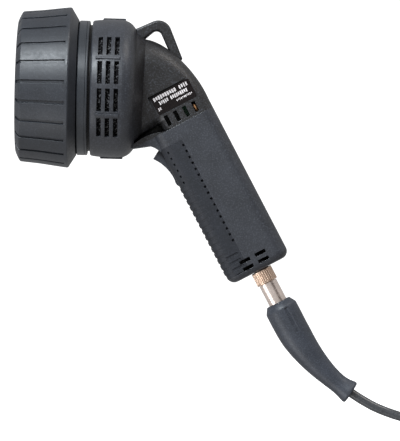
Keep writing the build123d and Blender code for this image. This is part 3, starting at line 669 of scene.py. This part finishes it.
class LAMP_OT_head(bpy.types.Operator):
    """Finishes the collar, the lens, the light source and the cooling parts"""
    bl_idname = "lamp.head"
    bl_label = "Head"

    def execute(self, context):
        colours = context.scene.lamp_colours
        # painted shade: black in the gap before the housing and dark in the collar's corners
        gap_painted_shade = {"colour": (0.0, 0.0, 0.0), "limits": ((FORWARD, COLLAR_SHADE_END, 0.2),)}
        coat(moulded("collar_plastic", list(colours.collar), 0.36, depth=0.025, strength=0.3, rounding=0.3,
                     gloss_level=0.55, reach=7.0, darkest_painted_shade=0.0, painted_shade_zone=gap_painted_shade), "head_collar")
        coat(dark_glass("filter_glass", list(colours.glass)), "lens_window")
        coat(moulded("seal_rubber", (0.02, 0.02, 0.02), 0.7), "lens_gasket")
        coat(metal("reflector_metal", (0.86, 0.86, 0.88), 0.12, wear_and_highlight=0.1), "reflector_cluster")
        coat(moulded("emitter_resin", (0.85, 0.74, 0.28), 0.15, grain=900, depth=0.02, wear_and_highlight=0.1), "uv_leds",
             "white_led")
        coat(moulded("led_board_mask", (0.75, 0.75, 0.72), 0.4, depth=0.02, wear_and_highlight=0.1), "led_board")
        coat(metal("sink_aluminium", (0.62, 0.62, 0.64), 0.38), "heat_sink")
        coat(moulded("fan_plastic", (0.02, 0.02, 0.022), 0.45, depth=0.02), "fan_frame", "fan_rotor")
        coat(open_foam("vent_foam", (0.010, 0.010, 0.011), (0.10, 0.10, 0.105)), "vent_foam")
        return {"FINISHED"}


# ---- the housing and the handle ----
# painted shade: the side of the neck is painted darker than the rest of the housing
NECK_PAINTED_SHADE = (0.008, 0.007, 0.007)
NECK_SHADE_LIMITS = ((FORWARD, 20.0, 9.0), (DOWN, 27.0, 0.6))
# rows of plain ticks, in millimetres: first offset, last offset, top, bottom, width of a tick
TICK_ROWS = ((-15.6, -8.4, 1.2, 4.2, 1.1), (-6.0, 13.0, 1.2, 4.2, 1.4), (-13.4, 0.8, 5.4, 8.2, 1.1),
             (2.4, 10.2, 5.4, 8.2, 1.1), (-15.6, -2.4, 9.8, 11.4, 0.7), (10.2, 12.9, 9.6, 12.0, 0.9))
TICK_GAP = 0.45
TICK_SHORTENING = 0.4
TICK_ROUNDING = 0.2


class LAMP_OT_housing(bpy.types.Operator):
    """Finishes the housing halves and the hanging loop"""
    bl_idname = "lamp.housing"
    bl_label = "Housing"

    def execute(self, context):
        colours = context.scene.lamp_colours
        # painted shade on the neck and in the recesses, painted highlight on the edges
        shell = moulded("shell_plastic", list(colours.shell), 0.43, grain=900, depth=0.12, strength=0.8,
                        rounding=0.6, wear_and_highlight=0.45, gloss_level=0.5, darkest_painted_shade=0.2,
                        painted_shade_zone={"colour": NECK_PAINTED_SHADE, "limits": NECK_SHADE_LIMITS})
        coat(shell, "left_shell", "right_shell", "hanging_loop")
        return {"FINISHED"}


class LAMP_OT_grip(bpy.types.Operator):
    """Finishes the grip pad and prints the label"""
    bl_idname = "lamp.grip"
    bl_label = "Grip and label"

    def execute(self, context):
        colours, sizes = context.scene.lamp_colours, context.scene.lamp_sizes
        coat(moulded("grip_rubber", list(colours.pad), 0.55, grain=1400, rounding=0.35), "grip_pad")
        coat(moulded("label_film", (0.005, 0.003, 0.003), 0.3, depth=0.01, strength=0.2, rounding=0.15,
                     wear_and_highlight=0.3, gloss_level=0.2), "label_plate")
        bm = bmesh.new()
        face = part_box("label_plate")[0].y / MM
        proud = sizes.print_height / MM
        for first, last, top, bottom, width in TICK_ROWS:
            count = int((last - first) / (width + TICK_GAP))
            for number in range(count):
                offset = last - number * (last - first) / count
                # every third tick is shorter
                end = bottom - TICK_SHORTENING * (number % 3 == 1)
                block(bm, (offset - width, offset), (top, end), (face - proud, face))
        corners = [e for e in bm.edges if abs((e.verts[1].co - e.verts[0].co).normalized().y) > 0.9]
        round_edges(bm, corners, TICK_ROUNDING)
        ink = moulded("label_ink", list(colours.print_tone), 0.5, grain=900, depth=0.02, strength=0.3,
                      rounding=0.05, wear_and_highlight=0.0, spread=0.25)
        add_piece("label_print", bm, "housing", ink)
        return {"FINISHED"}


class LAMP_OT_trigger(bpy.types.Operator):
    """Finishes the trigger, its pin and its switch"""
    bl_idname = "lamp.trigger"
    bl_label = "Trigger"

    def execute(self, context):
        colours = context.scene.lamp_colours
        coat(moulded("trigger_plastic", list(colours.shell), 0.45, depth=0.03, strength=0.4, rounding=0.8),
             "trigger")
        coat(metal("steel_pin", (0.55, 0.55, 0.57), 0.25), "trigger_pin", "case_screws")
        coat(moulded("switch_plastic", (0.02, 0.02, 0.022), 0.45, depth=0.02), "switch_body")
        coat(moulded("plunger_plastic", (0.35, 0.05, 0.04), 0.4, depth=0.02), "switch_plunger")
        return {"FINISHED"}


class LAMP_OT_electronics(bpy.types.Operator):
    """Finishes the board and its parts in the handle"""
    bl_idname = "lamp.electronics"
    bl_label = "Electronics"

    def execute(self, context):
        coat(moulded("board_laminate", (0.02, 0.10, 0.05), 0.4, depth=0.02), "driver_board")
        coat(metal("coil_copper", (0.80, 0.42, 0.20), 0.3, grain=1500), "inductor_coil")
        coat(moulded("component_plastic", (0.03, 0.03, 0.034), 0.45, depth=0.02), "board_components")
        return {"FINISHED"}


# ---- the plug ----
class LAMP_OT_plug(bpy.types.Operator):
    """Finishes the power socket and both plugs"""
    bl_idname = "lamp.plug"
    bl_label = "Plugs"

    def execute(self, context):
        colours = context.scene.lamp_colours
        coat(metal("ring_plating", list(colours.ring), 0.3, rounding=0.35), "plug_ring", "supply_ring")
        coat(metal("barrel_plating", list(colours.barrel), 0.27), "plug_shell", "supply_shell")
        coat(metal("blackened_plating", (0.05, 0.05, 0.055), 0.4), "socket_nut", "power_socket")
        return {"FINISHED"}


# ---- the boot ----
# (distance down the handle's axis, radius) of the boot's straight part, in millimetres
BOOT_STRAIGHT = ((180.2, 7.05), (179.7, 7.4), (179.5, 8.9), (179.8, 9.5), (183.9, 12.0), (184.4, 12.25),
                 (185.2, 12.35), (187.0, 12.4), (189.0, 12.4), (192.0, 12.4), (195.0, 12.4), (198.0, 12.35))
# (length round the bend, radius) of the rest, to the flared end and back into its mouth
BOOT_BEND = ((4, 12.3), (8, 12.2), (12, 12.0), (16, 11.6), (21, 11.1), (26, 10.5), (32, 9.8), (38, 9.1),
             (43, 8.5), (48, 7.95), (53, 7.55), (57, 7.35), (60, 7.4), (63, 7.8), (66, 8.45), (67.6, 8.8),
             (68.6, 8.9), (69.4, 8.6), (69.9, 7.8), (69.9, 5.4), (69.2, 4.5), (64.0, 4.2))
BOOT_SEGMENTS = 48
FLUTE_DISTANCES = (185.5, 207.0)
FLUTE_OFFSETS = (-5.0, -1.3)
FLUTE_LEAST_ACROSS = 8.0
FLUTE_FLANK, FLUTE_DEPTH = 0.55, 0.8


class LAMP_OT_boot(bpy.types.Operator):
    """Adds the moulded boot with its chamfered start, its flutes and its flared end"""
    bl_idname = "lamp.boot"
    bl_label = "Boot"

    def execute(self, context):
        colours = context.scene.lamp_colours
        rings = [(ELBOW + DOWN * distance, DOWN, radius) for distance, radius in BOOT_STRAIGHT]
        rings += [(*on_bend(length), radius) for length, radius in BOOT_BEND]
        bm = swept(rings, BOOT_SEGMENTS)
        # the flute, a shallow pocket on each side
        for side in (-1, 1):
            flutes = []
            for face in bm.faces:
                middle = face.calc_center_median() / MM - ELBOW
                in_length = FLUTE_DISTANCES[0] < middle.dot(DOWN) < FLUTE_DISTANCES[1]
                in_width = FLUTE_OFFSETS[0] < middle.dot(FRONT) < FLUTE_OFFSETS[1]
                if in_length and in_width and middle.y * side > FLUTE_LEAST_ACROSS:
                    flutes.append(face)
            bmesh.ops.inset_region(bm, faces=flutes, thickness=FLUTE_FLANK * MM, depth=-FLUTE_DEPTH * MM,
                                   use_even_offset=True, use_boundary=True)
        rubber = moulded("boot_rubber", list(colours.boot), 0.46, grain=1300, depth=0.035, strength=0.4,
                         wear_and_highlight=0.35)
        piece = add_piece("boot", bm, "housing", rubber, 35.0)
        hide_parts("strain_relief")
        coat(rubber, "supply_boot")
        return {"FINISHED"}


class LAMP_PT_panel(bpy.types.Panel):
    """Lists the lamp's settings and the steps that build it"""
    bl_idname = "LAMP_PT_panel"
    bl_label = "Inspection Lamp"
    bl_space_type = "VIEW_3D"
    bl_region_type = "UI"
    bl_category = "Lamp"

    def draw(self, context):
        for group in (context.scene.lamp_colours, context.scene.lamp_sizes, context.scene.lamp_stage):
            box = self.layout.box()
            for key in group.__annotations__:
                box.prop(group, key)
        for operator in STEPS:
            self.layout.operator(operator.bl_idname)


STEPS = (LAMP_OT_stage, LAMP_OT_lead, LAMP_OT_bumper, LAMP_OT_head, LAMP_OT_housing, LAMP_OT_grip,
         LAMP_OT_trigger, LAMP_OT_electronics, LAMP_OT_plug, LAMP_OT_boot)
GROUPS = (LampColours, LampSizes, StageSettings)


def register():
    for item in (*GROUPS, *STEPS, LAMP_PT_panel):
        bpy.utils.register_class(item)
    bpy.types.Scene.lamp_colours = bpy.props.PointerProperty(type=LampColours)
    bpy.types.Scene.lamp_sizes = bpy.props.PointerProperty(type=LampSizes)
    bpy.types.Scene.lamp_stage = bpy.props.PointerProperty(type=StageSettings)


def unregister():
    del bpy.types.Scene.lamp_stage
    del bpy.types.Scene.lamp_sizes
    del bpy.types.Scene.lamp_colours
    for item in reversed((*GROUPS, *STEPS, LAMP_PT_panel)):
        bpy.utils.unregister_class(item)


def main():
    register()
    bpy.ops.lamp.stage()
    bpy.ops.lamp.lead()
    bpy.ops.lamp.bumper()
    bpy.ops.lamp.head()
    bpy.ops.lamp.housing()
    bpy.ops.lamp.grip()
    bpy.ops.lamp.trigger()
    bpy.ops.lamp.electronics()
    bpy.ops.lamp.plug()
    bpy.ops.lamp.boot()


if __name__ == "__main__":
    main()
